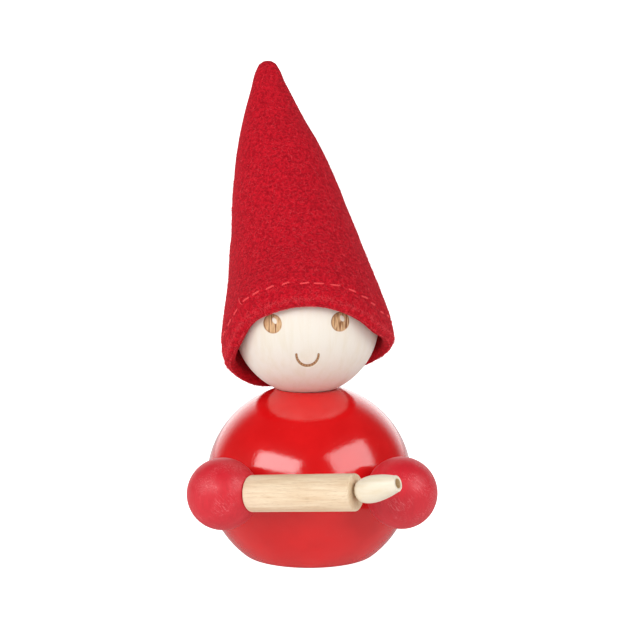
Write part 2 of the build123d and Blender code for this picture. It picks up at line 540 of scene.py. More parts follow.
def mouth_distance(x, z):
    """How far a point is from the middle of the smile's stroke, which thins a little at its ends."""
    dx, dz = x - mouth_middle[0], z - mouth_middle[1]
    across, up = mouth_radius
    if dz <= 0:
        off = abs(math.hypot(dx / across, dz / up) - 1) * (across + up) / 2
        return off * (1 + 0.25 * (1 + dz / up))
    return math.hypot(abs(dx) - across, dz) * 1.25


# %% [markdown]
# A plain ball of triangles would need millions of faces to carry lines this fine. Only the patches
# that are burnt get them: the edges there are divided again and again before the carving.

# %% Carve the head
ball = bmesh.new()
bmesh.ops.create_icosphere(ball, subdivisions=6, radius=head_radius)


def near_drawing(vert, margin):
    """True where the ball's front is within a margin of an eye or the mouth."""
    if vert.co.y > 0:
        return False
    x, z = vert.co.x, vert.co.z
    if mouth_distance(x, z) < mouth_half_stroke + margin:
        return True
    return any(eye_distance(x, z, eye) < 1 + margin / eye[2] for eye in eyes)


for margin in (0.9 * MM, 0.45 * MM, 0.2 * MM):
    chosen = [e for e in ball.edges if any(near_drawing(v, margin) for v in e.verts)]
    bmesh.ops.subdivide_edges(ball, edges=chosen, cuts=1, use_grid_fill=True)
bmesh.ops.triangulate(ball, faces=[f for f in ball.faces if len(f.verts) > 4])
burn = ball.verts.layers.float.new("burn")
char_and_shade = ball.verts.layers.float.new("char_and_shade")
for vert in ball.verts:
    vert.co = vert.co.normalized() * head_radius
    x, z = vert.co.x, vert.co.z
    if vert.co.y > 0:
        continue
    grain_line = noise.noise(Vector((x * 3000, 0, z * 330)))
    sunk = 0.0
    for eye in eyes:
        how_far = eye_distance(x, z, eye)
        inside = 1 - ease(0.96, 1.03, how_far)
        inside *= ease(0.85, 1.1, fleck_distance(x, z, eye))
        # Painted shade: the rim darkens towards the upper-left side of each eye, where the recess's wall
        # would be shaded.
        towards_shaded_side = math.cos(math.atan2(z - eye[1], x - eye[0]) - shaded_rim_side)
        rim = ease(0.80, 0.95, how_far) * (0.55 + 0.35 * towards_shaded_side)
        vert[burn] = max(vert[burn], inside)
        vert[char_and_shade] = max(vert[char_and_shade], inside * max(rim, ease(0.02, 0.35, grain_line)))
        sunk = max(sunk, inside * (0.10 + 0.07 * max(0.0, grain_line)))
    across_stroke = mouth_distance(x, z) / mouth_half_stroke
    stroke = 1 - ease(0.80, 1.08, across_stroke)
    round_mouth = math.atan2(z - mouth_middle[1], x - mouth_middle[0])
    dashes = 0.5 + 0.5 * math.sin(round_mouth * mouth_dashes)
    edge = ease(0.35, 0.8, across_stroke)
    vert[burn] = max(vert[burn], stroke)
    vert[char_and_shade] = max(vert[char_and_shade], stroke * max(edge, 0.35 + 0.5 * dashes))
    sunk = max(sunk, stroke * (0.16 + 0.05 * grain_line))
    vert.co -= vert.co.normalized() * sunk * MM
bmesh.ops.translate(ball, verts=ball.verts[:], vec=head_middle)

# %% [markdown]
# The birch itself is almost white, with faint upright streaks. The burn follows the carved value that
# the mesh carries: tan where the beam only toasted the wood, brown along the grain lines, darker round
# each eye's rim, and there, on the upper-left side, painted shade of the sunk disc's wall.

# %% Birch with burnt lines
birch_face, tree, shader, place = new_material("birch_with_burnt_face")
fill(tree, shader, Specular_IOR_Level=0.4, Subsurface_Weight=0.06)
fill(tree, shader, Subsurface_Radius=(1.0, 0.6, 0.4), Subsurface_Scale=0.0012)
wood = use_group(tree, grain, Vector=place, Fineness=0.55, Stretch=0.05)
birch = blend_colours(
    tree,
    ramp(tree, wood.outputs["Streaks"], (0.40, 0.0), (0.70, 1.0)),
    (0.80, 0.748, 0.665),
    (0.775, 0.71, 0.60),
)
fine = use_group(tree, grain, Vector=place, Fineness=3.0, Stretch=0.03)
faint_pores = sums(tree, "MULTIPLY", fine.outputs["Pores"], 0.07)
birch = blend_colours(tree, faint_pores, birch, (0.62, 0.46, 0.30))
toast = use_group(tree, grain, Vector=place, Fineness=2.6, Stretch=0.10)
toasted = blend_colours(
    tree,
    ramp(tree, toast.outputs["Streaks"], (0.40, 0.0), (0.60, 1.0)),
    (0.70, 0.46, 0.26),
    (0.56, 0.33, 0.16),
)
# This value carries the burn's real darkening and the painted shade on the eyes' rims.
char_and_shade_amount = add(tree, "Attribute", {"attribute_name": "char_and_shade"}).outputs["Fac"]
charred_and_shaded = blend_colours(tree, char_and_shade_amount, toasted, (0.25, 0.105, 0.04))
burnt = add(tree, "Attribute", {"attribute_name": "burn"}).outputs["Fac"]
face_colour = blend_colours(tree, burnt, birch, charred_and_shaded)
rough = sums(tree, "ADD", 0.42, sums(tree, "MULTIPLY", burnt, 0.35))
height = sums(tree, "ADD", fine.outputs["Streaks"], wood.outputs["Streaks"])
relief = add(tree, "Bump", Height=height, Strength=0.08, Distance=0.0001)
fill(tree, shader, Base_Color=face_colour, Roughness=rough, Normal=relief.outputs[0])
finish_piece("birch_head", ball, "head", birch_face, "head_ball")

# %% [markdown]
# ## The hands
# The hands are small balls dipped in red stain and left matte, so the wood's nap and the marks of
# sanding still show as paler hairlines.

# %% Matte red stain
red_stain, tree, shader, place = new_material("matte_red_stain")
fill(tree, shader, Specular_IOR_Level=0.5)
fill(tree, shader, Sheen_Weight=0.05, Sheen_Roughness=0.5, Sheen_Tint=(1.0, 0.4, 0.4, 1.0))
wood = use_group(tree, grain, Vector=place, Fineness=1.3, Stretch=0.12)
marks = use_group(tree, scratch, Vector=place, Fineness=0.9, Cover=0.56)
stained = blend_colours(
    tree,
    ramp(tree, wood.outputs["Streaks"], (0.35, 0.0), (0.68, 1.0)),
    (0.66, 0.013, 0.027),
    (0.61, 0.011, 0.023),
)
dark_pores = sums(tree, "MULTIPLY", wood.outputs["Pores"], 0.25)
stained = blend_colours(tree, dark_pores, stained, (0.32, 0.008, 0.015))
pale_marks = sums(tree, "MULTIPLY", marks.outputs[0], 0.38)
stained = blend_colours(tree, pale_marks, stained, (0.88, 0.24, 0.26))
rough = sums(tree, "SUBTRACT", 0.46, sums(tree, "MULTIPLY", marks.outputs[0], 0.15))
napped = sums(tree, "ADD", wood.outputs["Streaks"], sums(tree, "MULTIPLY", marks.outputs[0], 0.5))
relief = add(tree, "Bump", Height=napped, Strength=0.25, Distance=0.0001)
fill(tree, shader, Base_Color=stained, Roughness=rough, Normal=relief.outputs[0])

# %% [markdown]
# Each ball's poles lie on its drilling axis, as the lathe left them. The hand that holds the pin has
# a flat where the roller's end runs, with the hole for the axle in its middle. The flat is a bisect,
# and two insets and an extrusion make the hole.

# %% Turn the hands
hand_flat = 7.9 * MM
axle_hole = 1.0 * MM
hole_chamfer = 0.12 * MM
hand_hole_depth = 4.5 * MM


def hand_ball(middle_point):
    """A ball of wood, its poles towards and away from the body's axis."""
    bm = bmesh.new()
    bmesh.ops.create_uvsphere(bm, u_segments=96, v_segments=64, radius=hand_radius)
    inward = Vector((-middle_point.x, -middle_point.y, 0))
    bmesh.ops.transform(bm, matrix=facing(middle_point, inward), verts=bm.verts[:])
    return bm


free = hand_ball(free_hand)
finish_piece("free_hand", free, "figure", red_stain, "free_hand_ball")

holding = hand_ball(pin_hand)
flat_middle = pin_hand + pin_along * hand_flat
cut(holding, flat_middle, pin_along, clear_outer=True)
open_edges = [e for e in holding.edges if e.is_boundary]
flat_face = bmesh.ops.holes_fill(holding, edges=open_edges)["faces"][0]
flat_radius = max((v.co - flat_middle).length for v in flat_face.verts)
for inward in (hole_chamfer, flat_radius - axle_hole - hole_chamfer):
    bmesh.ops.inset_region(holding, faces=[flat_face], thickness=inward)
pulled = bmesh.ops.extrude_discrete_faces(holding, faces=[flat_face])["faces"]
sunk = list({v for f in pulled for v in f.verts})
bmesh.ops.translate(holding, verts=sunk, vec=-pin_along * hand_hole_depth)
print("flat on the holding hand, radius in mm:", round(flat_radius / MM, 2))
finish_piece("holding_hand", holding, "figure", red_stain, "holding_hand_ball")

# %% [markdown]
# ## The rolling pin
# The roller is a length of dowel with eased ends and a bore down its middle, left bare, so the open
# grain runs along it. Its grain pattern is turned to the pin's own direction by a Mapping node.

# %% Bare wood along the pin
pin_frame = facing(pin_hand, pin_along)
to_pin = pin_frame.inverted().to_euler()


def bare_wood(name, pale, deep, pore, fineness, stretch, roughness, pores=0.5, relief_strength=0.3):
    """A wood finish whose grain runs along the pin, with painted shade inside a drilled hole."""
    material, tree, shader, place = new_material(name)
    along = add(tree, "Mapping", Vector=place, Rotation=to_pin)
    wood = use_group(tree, grain, Vector=along.outputs[0], Fineness=fineness, Stretch=stretch)
    wide = {"Fineness": fineness * 0.3, "Stretch": stretch * 2}
    broad = use_group(tree, grain, Vector=along.outputs[0], **wide)
    narrow_streaks = ramp(tree, wood.outputs["Streaks"], (0.36, 0.0), (0.66, 1.0))
    broad_streaks = ramp(tree, broad.outputs["Streaks"], (0.4, 0.0), (0.6, 1.0))
    share = sums(
        tree,
        "ADD",
        sums(tree, "MULTIPLY", narrow_streaks, 0.6),
        sums(tree, "MULTIPLY", broad_streaks, 0.4),
    )
    colour = blend_colours(tree, share, pale, deep)
    colour = blend_colours(tree, sums(tree, "MULTIPLY", wood.outputs["Pores"], pores), colour, pore)
    bore_shade = add(tree, "Attribute", {"attribute_name": "bore_shade"}).outputs["Fac"]
    # Painted shade: the wall of the drilled hole is darkened as the shade inside the hole would darken
    # it.
    colour = blend_colours(tree, bore_shade, colour, (0.56, 0.38, 0.19))
    height = sums(tree, "SUBTRACT", wood.outputs["Streaks"], wood.outputs["Pores"])
    relief = add(tree, "Bump", Height=height, Strength=relief_strength, Distance=0.00012)
    fill(tree, shader, Base_Color=colour, Roughness=roughness, Normal=relief.outputs[0])
    return material


roller_wood = bare_wood(
    "bare_roller_wood",
    pale=(0.86, 0.70, 0.50),
    deep=(0.735, 0.53, 0.335),
    pore=(0.46, 0.29, 0.155),
    fineness=1.7,
    stretch=0.06,
    roughness=0.6,
    pores=0.45,
)
bead_wood = bare_wood(
    "waxed_bead_wood",
    pale=(0.85, 0.765, 0.62),
    deep=(0.80, 0.685, 0.50),
    pore=(0.70, 0.55, 0.33),
    fineness=0.8,
    stretch=0.1,
    roughness=0.36,
    pores=0.15,
    relief_strength=0.08,
)
dowel_wood = bare_wood(
    "dowel_wood",
    pale=(0.80, 0.62, 0.42),
    deep=(0.70, 0.50, 0.31),
    pore=(0.48, 0.30, 0.16),
    fineness=1.6,
    stretch=0.08,
    roughness=0.6,
)

# %% [markdown]
# The roller is spun from the four corners of its half section, and its rims are bevelled. Cut
# straight across many times, it has enough rings to give it the slight waver of hand sanding.

# %% Turn the roller
roller_start = 8.05 * MM
roller_length = 29.0 * MM
roller_radius = 4.55 * MM
roller_end = roller_start + roller_length
roller_rings = 60

roller = bmesh.new()
half_section = (
    (axle_hole, 0, roller_start),
    (roller_radius, 0, roller_start),
    (roller_radius, 0, roller_end),
    (axle_hole, 0, roller_end),
)
corners = wire(roller, half_section)
roller.edges.new((corners[-1], corners[0]))
spin_round(roller, 96)
for share in range(1, roller_rings):
    cut(roller, (0, 0, roller_start + roller_length * share / roller_rings), (0, 0, 1))


def on_rim(vert):
    """True on the outer corner of either end of the roller."""
    off_end = min(abs(vert.co.z - roller_start), abs(vert.co.z - roller_end))
    return math.hypot(vert.co.x, vert.co.y) > roller_radius - 1e-5 and off_end < 1e-6


rims = [e for e in roller.edges if all(on_rim(v) for v in e.verts)]
bmesh.ops.bevel(
    roller,
    geom=rims,
    offset=0.42 * MM,
    offset_type="OFFSET",
    segments=6,
    profile=0.5,
    affect="EDGES",
    material=-1,
)
for vert in roller.verts:
    out = math.hypot(vert.co.x, vert.co.y)
    if out > 2 * MM:
        waver = noise.noise(Vector((vert.co.x * 300, vert.co.y * 300, vert.co.z * 90)))
        ripple = noise.noise(Vector((vert.co.x * 1500, vert.co.y * 1500, vert.co.z * 60)))
        grow = 1 + (0.035 * waver + 0.012 * ripple) * MM / out
        vert.co.x *= grow
        vert.co.y *= grow
bmesh.ops.transform(roller, matrix=pin_frame, verts=roller.verts[:])
finish_piece("roller", roller, "roller", roller_wood, "pin_roller")

# %% [markdown]
# The handle is a barrel-shaped bead, glued on a little crooked so that it points up and forward. It
# is spun from its half outline, with a blind hole in the tip where the bead's own bore comes out.
# A value on the hole's vertices makes its drilled wall darker than the waxed outside, as painted shade
# inside the hole.

# %% Turn the handle bead
handle_yaw, handle_pitch = math.radians(31.7), math.radians(17.4)
handle_along = Vector(
    (
        math.cos(handle_yaw) * math.cos(handle_pitch),
        -math.sin(handle_yaw) * math.cos(handle_pitch),
        math.sin(handle_pitch),
    )
)
handle_base = pin_hand + pin_along * (roller_start + roller_length + 0.6 * MM)
bead_along = (0.0, 0.25, 0.8, 1.9, 3.9, 6.2, 8.6, 10.6, 11.1, 11.2)
bead_radii = (1.75, 2.18, 2.62, 3.02, 3.27, 3.10, 2.62, 2.02, 1.86, 1.72)
hole_radius, hole_depth, lip = 1.15 * MM, 4.0 * MM, 0.12 * MM
bead_length = bead_along[-1] * MM

bead = bmesh.new()
outline = [Vector((0, 0, 0))]
for step in range(61):
    along = bead_along[-1] * ease(0, 1, step / 60)
    outline.append(Vector((through(bead_along, bead_radii, along) * MM, 0, along * MM)))
for out, deep in ((hole_radius + lip, 0), (hole_radius, lip), (hole_radius, hole_depth), (0, hole_depth)):
    outline.append(Vector((out, 0, bead_length - deep)))
wire(bead, outline)
spin_round(bead, 72)
bore_shade = bead.verts.layers.float.new("bore_shade")
# This value marks the hole's wall, where shade is painted in.
for vert in bead.verts:
    in_hole = math.hypot(vert.co.x, vert.co.y) < hole_radius + 0.01 * MM
    vert[bore_shade] = float(in_hole and vert.co.z > bead_length / 2)
bmesh.ops.transform(bead, matrix=facing(handle_base, handle_along), verts=bead.verts[:])
finish_piece("handle_bead", bead, "figure", bead_wood, "pin_handle")

# %% [markdown]
# ## The felt hat
# The hat is one flat piece of wool felt, rolled into a cone, sewn up the back and turned right side
# out, and its edge is folded in once and hemmed. It is built as that sheet: a ring of edges starts
# inside at the hem's cut edge, is extruded down to the brim, round the fold and up to the tip.
# Each ring is a step along a bent centre line, so the cone leans back and to the left as it
# stands on the head. The sheet gets its thickness last.

# %% The hat's centre line
felt = 1.4 * MM
hem_depth = 6.6 * MM
brim_below_head = 7.6 * MM
# Step up from the ring below and outer radius in mm, lean back and lean left in degrees.
hat_rings = (
    (0.0, 21.4, 34.0, 7.0),
    (3.4, 22.15, 34.0, 7.0),
    (3.2, 22.05, 34.0, 7.0),
    (7.2, 20.7, 33.0, 7.0),
    (8.0, 18.8, 31.5, 7.2),
    (11.0, 16.6, 28.5, 8.0),
    (12.0, 14.3, 24.5, 9.2),
    (12.0, 11.3, 20.5, 9.6),
    (10.0, 7.8, 17.5, 8.0),
    (8.4, 4.8, 15.5, 5.5),
    (4.8, 3.0, 14.5, 3.5),
    (1.2, 2.2, 14.5, 3.5),
    (0.6, 1.1, 14.5, 3.5),
)


def lean(back, left):
    """The direction of the hat's centre line for a lean in degrees."""
    b, l = math.radians(back), math.radians(left)
    return Vector((-math.sin(l), math.cos(l) * math.sin(b), math.cos(l) * math.cos(b)))


ring_heights, ring_middles, ring_radii, ring_leans = [], [], [], []
for step, radius, back, left in hat_rings:
    if not ring_middles:
        ring_heights.append(0.0)
        ring_middles.append(head_middle - lean(back, left) * brim_below_head)
    else:
        ring_heights.append(ring_heights[-1] + step * MM)
        ring_middles.append(ring_middles[-1] + lean(back, left) * step * MM)
    ring_radii.append(radius * MM)
    ring_leans.append((back, left))
hat_length = ring_heights[-1]
print("hat's centre line, mm:", round(hat_length / MM, 1))
print("lean at the brim against the joint's axis:", round(lean(34, 7).angle(hat_up), 5))


def hat_ring(height, radius):
    """The matrix that puts a unit circle on the hat at a height along its centre line."""
    clamped = min(max(height, 0.0), hat_length)
    back, left = through(ring_heights, ring_leans, clamped)
    up = lean(back, left)
    centre = Vector(through(ring_heights, [tuple(m) for m in ring_middles], clamped))
    centre += up * (height - clamped)
    right = Vector((0, 1, 0)).cross(up).normalized()
    rearward = up.cross(right)
    turned = Matrix((right * radius, rearward * radius, up * radius)).transposed().to_4x4()
    return Matrix.Translation(centre) @ turned


# %% [markdown]
# Reading the centre line is slow, so it is read once, every quarter of a millimetre, into tables. A
# hand-folded brim isn't level either. Going round from the figurine's right side by the front, a
# short list says how far the brim rises above a level ring and how far it stands out. It is high
# over one side of the brow and dips beside the other cheek.

# %% Where a point of the felt is
table_heights = np.arange(-8, 92, 0.25) * MM
table_rings = [hat_ring(h, 1.0) for h in table_heights]
table_centres = np.array([m.translation[:] for m in table_rings])
table_rights = np.array([m.col[0][:3] for m in table_rings])
table_rears = np.array([m.col[1][:3] for m in table_rings])
on_hat = np.clip(table_heights, 0, hat_length)
table_radii = np.array([through(ring_heights, ring_radii, h) for h in on_hat])
brim_places = (
    # degrees around, how far the brim rises, how far it stands out, in mm
    (-180, -1.5, 0.6),
    (-165, -1.3, 0.3),
    (-150, -0.1, -0.1),
    (-135, 1.9, 0.0),
    (-112, 2.3, 0.1),
    (-90, 2.0, 0.1),
    (-75, 1.2, 0.0),
    (-60, -0.2, -0.1),
    (-45, -1.7, -0.3),
    (-30, -3.1, -0.6),
    (-15, -2.9, -0.3),
    (0, -2.4, -0.1),
    (15, -1.7, 0.0),
    (30, -0.9, 0.0),
    (75, 0.3, 0.0),
    (105, -0.1, 0.0),
    (135, -1.8, 0.2),
    (165, -1.4, 0.5),
)


def outer_radius(heights):
    """The hat's outer radius at heights along its centre line."""
    return np.interp(heights, table_heights, table_radii)


def read_around(column, arounds):
    """Read a column of the brim's table as a smooth closed curve, in metres."""
    once_round = [(row[0], row[column] * MM) for row in brim_places]
    before = [(angle - 360, value) for angle, value in once_round[-1:]]
    after = [(angle + 360, value) for angle, value in once_round[:2]]
    degrees, values = zip(*before, *once_round, *after)
    return through(np.radians(degrees), values, (arounds + math.pi) % math.tau - math.pi)


def felt_points(heights, radii, arounds):
    """Places on the felt: heights up the sheet, distances from the centre line, angles around it."""
    heights, radii, arounds = np.broadcast_arrays(heights, radii, arounds)
    faded = np.clip((heights - 4 * MM) / (18 * MM), 0, 1)
    share = 1 - faded**2 * (3 - 2 * faded)
    lifted = heights + read_around(1, arounds) * share
    out = radii + read_around(2, arounds) * share
    placed = [
        np.interp(lifted, table_heights, table_centres[:, i])
        + out
        * (
            np.cos(arounds) * np.interp(lifted, table_heights, table_rights[:, i])
            + np.sin(arounds) * np.interp(lifted, table_heights, table_rears[:, i])
        )
        for i in range(3)
    ]
    return np.stack(placed, axis=-1)


# %% [markdown]
# A perfect cone looks like plastic. The felt is given its life with small moves in and out: wide
# soft dents, the groove that the stitches pull in, a pucker at each stitch, and the valley of the
# seam up the back.

# %% Dents, puckers and the seam's valley
stitch_count = 33
stitch_height = 5.9 * MM


def dent(height, around):
    """How far the felt's outside stands out from the smooth cone, at a height and an angle."""
    radius = float(outer_radius(height))
    spot = Vector((math.cos(around) * radius, math.sin(around) * radius, height))
    moved = 0.30 * noise.noise(spot * 85) + 0.08 * noise.noise(spot * 330 + Vector((5, 3, 1)))
    moved *= ease(-2 * MM, 9 * MM, height) * ease(0, 6 * MM, hat_length - height)
    groove = math.exp(-(((height - stitch_height) / (0.8 * MM)) ** 2))
    phase = 0.5 + 0.5 * math.cos(around * stitch_count)
    moved -= groove * (0.12 + 0.12 * phase)
    hem_swell = math.exp(-(((height - 2.6 * MM) / (2 * MM)) ** 2))
    moved += hem_swell * 0.07 * math.sin(around * stitch_count / 3 + 1)
    behind = (around - math.pi / 2) * radius / MM
    moved -= 0.80 * math.exp(-((behind / 0.7) ** 2)) * ease(0, 6 * MM, hat_length - height)
    return moved * MM


# %% [markdown]
# The path of the felt's middle up one side is a list of heights and radii. Inside the fold it runs
# down one layer in from the outer one; round the fold it is a half circle.

# %% The sheet's path and its rings
half = felt / 2
fold_up = felt
hem_steps, fold_steps = 12, 8
ring_gap, tip_gap, least_radius = 0.52 * MM, 0.35 * MM, 0.5 * MM
path = []
for step in range(hem_steps + 1):
    height = hem_depth + (fold_up - hem_depth) * step / hem_steps
    path.append((height, float(outer_radius(height)) - felt - half, "hem"))
fold_radius = float(outer_radius(fold_up)) - felt
for step in range(1, fold_steps):
    turn = math.pi * step / fold_steps
    path.append((fold_up - half * math.sin(turn), fold_radius - half * math.cos(turn), "fold"))
rows = int((hat_length - fold_up) / ring_gap)
for step in range(rows + 1):
    height = fold_up + (hat_length - tip_gap - fold_up) * step / rows
    path.append((height, max(float(outer_radius(height)) - half, least_radius), "outside"))
print("rings in the hat:", len(path))

hat_segments = 240
cone = bmesh.new()
previous = hat_ring(path[0][0], path[0][1])
bmesh.ops.create_circle(cone, segments=hat_segments, radius=1, matrix=previous)
row_of = cone.verts.layers.int.new("row")
loop_edges = cone.edges[:]
for number, (height, radius, _) in enumerate(path[1:], start=1):
    grown = bmesh.ops.extrude_edge_only(cone, edges=loop_edges)["geom"]
    new_verts = [g for g in grown if isinstance(g, bmesh.types.BMVert)]
    fresh = set(new_verts)
    loop_edges = [g for g in grown if isinstance(g, bmesh.types.BMEdge) and fresh.issuperset(g.verts)]
    placed = hat_ring(height, radius)
    bmesh.ops.transform(cone, matrix=placed @ previous.inverted(), verts=new_verts)
    for vert in new_verts:
        vert[row_of] = number
    previous = placed

# %% [markdown]
# Now each vertex moves to where the hand-folded felt really is. The last ring closes to a point.

# %% Shape the felt and close the tip
unplaced = [hat_ring(height, 1.0).inverted() for height, _, _ in path]
verts = cone.verts[:]
heights, radii, arounds = [], [], []
for vert in verts:
    height, radius, part = path[vert[row_of]]
    local = unplaced[vert[row_of]] @ vert.co
    around = math.atan2(local.y, local.x)
    heights.append(height)
    arounds.append(around)
    radii.append(radius + (dent(height, around) if part == "outside" else 0))
moved_to = felt_points(np.array(heights), np.array(radii), np.array(arounds))
for vert, place_now in zip(verts, moved_to):
    vert.co = place_now
tip_height = path[-1][0] + 0.2 * MM
tip = felt_points(np.array([tip_height]), np.array([0.0]), np.array([0.0]))[0]
closing = bmesh.ops.extrude_edge_only(cone, edges=loop_edges)["geom"]
tip_verts = [g for g in closing if isinstance(g, bmesh.types.BMVert)]
bmesh.ops.pointmerge(cone, verts=tip_verts, merge_co=Vector(tip))
bmesh.ops.recalc_face_normals(cone, faces=cone.faces[:])
print("hat sheet faces:", len(cone.faces))

# %% [markdown]
# Solidify gives the sheet its thickness on the side that the normals point away from, so the sheet
# is first grown by half its thickness along them.

# %% Thickness
cone.normal_update()
widest = max(cone.verts, key=lambda v: v.co.x)
outward = 1 if widest.normal.x > 0 else -1
for vert, along in [(v, v.normal.copy()) for v in cone.verts]:
    vert.co += along * outward * half
sheet_area = sum(f.calc_area() for f in cone.faces)
bmesh.ops.solidify(cone, geom=cone.faces[:], thickness=felt * 0.97)
print("one layer of felt, square cm:", round(sheet_area * 1e4, 1))

# %% Red felt
red_felt, tree, shader, place = new_material("red_wool_felt")
fill(tree, shader, Roughness=0.92, Specular_IOR_Level=0.06)
fill(tree, shader, Sheen_Weight=0.22, Sheen_Roughness=0.45, Sheen_Tint=(1.0, 0.16, 0.20, 1.0))
wool = use_group(tree, fibre, Vector=place, Fineness=1.0)
felt_colour = blend_colours(
    tree,
    ramp(tree, wool.outputs["Mottle"], (0.38, 0.0), (0.62, 1.0)),
    (0.32, 0.0020, 0.009),
    (0.60, 0.008, 0.020),
)
wisps = sums(tree, "MULTIPLY", wool.outputs["Wisps"], 0.55)
felt_colour = blend_colours(tree, wisps, felt_colour, (0.84, 0.05, 0.07))
fuzzy = add(tree, "Bump", Height=wool.outputs["Height"], Strength=0.55, Distance=0.00025)
fill(tree, shader, Base_Color=felt_colour, Normal=fuzzy.outputs[0])

felt_hat = finish_piece("felt_cone", cone, "hat", red_felt, "felt_hat")
felt_heights = [round(v.co.z / MM, 1) for v in felt_hat.data.vertices]
print("hat from", min(felt_heights), "to", max(felt_heights), "mm above the table")

# %% [markdown]
# ## The hem's stitches
# The hem is sewn by hand with a lighter red thread: running stitches about two and a half
# millimetres long, with a gap between them where the thread is on the inside. The thread is two
# plies twisted together, so each stitch is two little tubes that wind round each other, arched over
# the felt with their ends pulled in.

# %% Twisted red thread
red_thread, tree, shader, place = new_material("twisted_red_thread")
hairs = add(tree, "TexNoise", Vector=place, Scale=6.0, Detail=2.0)
thread_colour = blend_colours(tree, hairs.outputs["Fac"], (0.78, 0.045, 0.055), (0.92, 0.10, 0.11))
relief = add(tree, "Bump", Height=hairs.outputs["Fac"], Strength=0.4, Distance=0.00005)
fill(tree, shader, Roughness=0.6, Specular_IOR_Level=0.2)
fill(tree, shader, Base_Color=thread_colour, Normal=relief.outputs[0])

# %% Sew the hem
ply_radius = 0.16 * MM
ply_offset = 0.15 * MM
twist_length = 1.1 * MM
tail_radius = 0.11 * MM
gap_beside_front = 2.6
hand = random.Random(4)
# The ten stitches in front: where each starts and ends, as degrees around and mm up the felt.
front_stitches = (
    (-134, 6.2, -127, 6.0),
    (-125, 6.0, -118, 6.5),
    (-114, 6.1, -107.5, 6.6),
    (-103, 6.0, -97, 6.6),
    (-91.5, 5.6, -84, 6.0),
    (-82, 5.7, -74, 6.0),
    (-71, 5.9, -63, 6.4),
    (-58, 6.2, -51.5, 6.4),
    (-47.5, 6.1, -40.5, 6.7),
    (-38.5, 6.1, -31.5, 6.7),
)
loose_end = ((-137, 8.4), (-136.5, 7.3), (-135, 6.2), (-134, 5.4))


def tube(bm, centres, radius, sides=6):
    """A closed tube along some points: a capped ring, extruded from point to point."""
    placed = facing(centres[0], centres[1] - centres[0], hat_up)
    ring = bmesh.ops.create_circle(bm, segments=sides, radius=radius, cap_ends=True, matrix=placed)
    faces = list({f for v in ring["verts"] for f in v.link_faces})
    for i, centre in enumerate(centres[1:], start=1):
        ahead = centres[min(i + 1, len(centres) - 1)]
        target = facing(centre, ahead - centres[i - 1], hat_up)
        grown = bmesh.ops.extrude_face_region(bm, geom=faces)["geom"]
        if i > 1:
            bmesh.ops.delete(bm, geom=faces, context="FACES_ONLY")
        moved = [g for g in grown if isinstance(g, bmesh.types.BMVert)]
        faces = [g for g in grown if isinstance(g, bmesh.types.BMFace)]
        bmesh.ops.transform(bm, matrix=target @ placed.inverted(), verts=moved)
        placed = target


def on_felt(heights, arounds, lifts):
    """Points on the hat's outside, lifted off it, as Vectors."""
    sunk = np.array([dent(h, a) for h, a in zip(heights, arounds)])
    return [Vector(p) for p in felt_points(heights, outer_radius(heights) + sunk + lifts, arounds)]


spans = [(math.radians(a), h * MM, math.radians(b), k * MM) for a, h, b, k in front_stitches]
left_over = stitch_count - len(spans)
front_start, front_end = front_stitches[0][0], front_stitches[-1][2]
pitch = math.radians(360 + front_start - front_end - 2 * gap_beside_front) / left_over
for number in range(left_over):
    ahead = pitch * (number + 0.2 + hand.uniform(-0.05, 0.05))
    begin = math.radians(front_end + gap_beside_front) + ahead
    end = begin + pitch * hand.uniform(0.55, 0.68)
    spans.append((begin, hand.uniform(5.8, 6.1) * MM, end, hand.uniform(5.9, 6.3) * MM))

stitches = bmesh.new()
steps = np.linspace(0, 1, 13)
for begin, low_end, end, high_end in spans:
    arounds = begin + (end - begin) * steps
    levels = low_end + (high_end - low_end) * steps
    length = (end - begin) * float(outer_radius(low_end))
    arch = (0.05 - 0.50 * (2 * steps - 1) ** 4) * MM
    twist_start = hand.uniform(0, math.tau)
    for ply in (0, math.pi):
        turn = twist_start + ply + math.tau * length * steps / twist_length
        wound = levels + ply_offset * np.sin(turn)
        tube(stitches, on_felt(wound, arounds, arch + ply_offset * np.cos(turn)), ply_radius)
loose = np.array(loose_end)
along = np.linspace(0, len(loose) - 1, 16)
wriggle = 0.5 * np.sin(along * 2)
arounds = np.radians(np.interp(along, range(len(loose)), loose[:, 0]) + wriggle)
levels = np.interp(along, range(len(loose)), loose[:, 1]) * MM
lifts = 0.35 * MM * np.sin(np.linspace(0.3, 3.1, 16))
tube(stitches, on_felt(levels, arounds, lifts), tail_radius)
bmesh.ops.recalc_face_normals(stitches, faces=stitches.faces[:])
finish_piece("hem_stitches", stitches, "hat", red_thread, "hem_stitching")

# %% [markdown]
# The cut edges of the cone's seam are pressed open inside the hat, one strip each side of the seam.
# They are seen only when the hat is lifted off.

# %% The seam allowance inside
allowance_width = 3.0 * MM
allowance_thickness = 1.1 * MM
allowance_start, allowance_length, allowance_rows = hem_depth + 1.0 * MM, 56 * MM, 59
strips = bmesh.new()
for side in (-1, 1):
    previous = None
    for step in range(allowance_rows + 1):
        height = allowance_start + allowance_length * step / allowance_rows
        inner = float(outer_radius(height)) - felt - 0.06 * MM
        width = min(allowance_width, inner * 0.6)
        shares = np.array((0.05, 0.05, 0.5, 0.95, 1.0))
        depths = allowance_thickness * np.array((0.0, 0.85, 1.0, 0.75, 0.0))
        arounds = math.pi / 2 + side * shares * width / inner
        section = [strips.verts.new(p) for p in felt_points(height, inner - depths, arounds)]
        if previous is None:
            strips.faces.new(section)
        else:
            for i in range(5):
                j = (i + 1) % 5
                strips.faces.new((previous[i], previous[j], section[j], section[i]))
        previous = section
    strips.faces.new(previous)
bmesh.ops.recalc_face_normals(strips, faces=strips.faces[:])
finish_piece("seam_allowance", strips, "hat", red_felt)

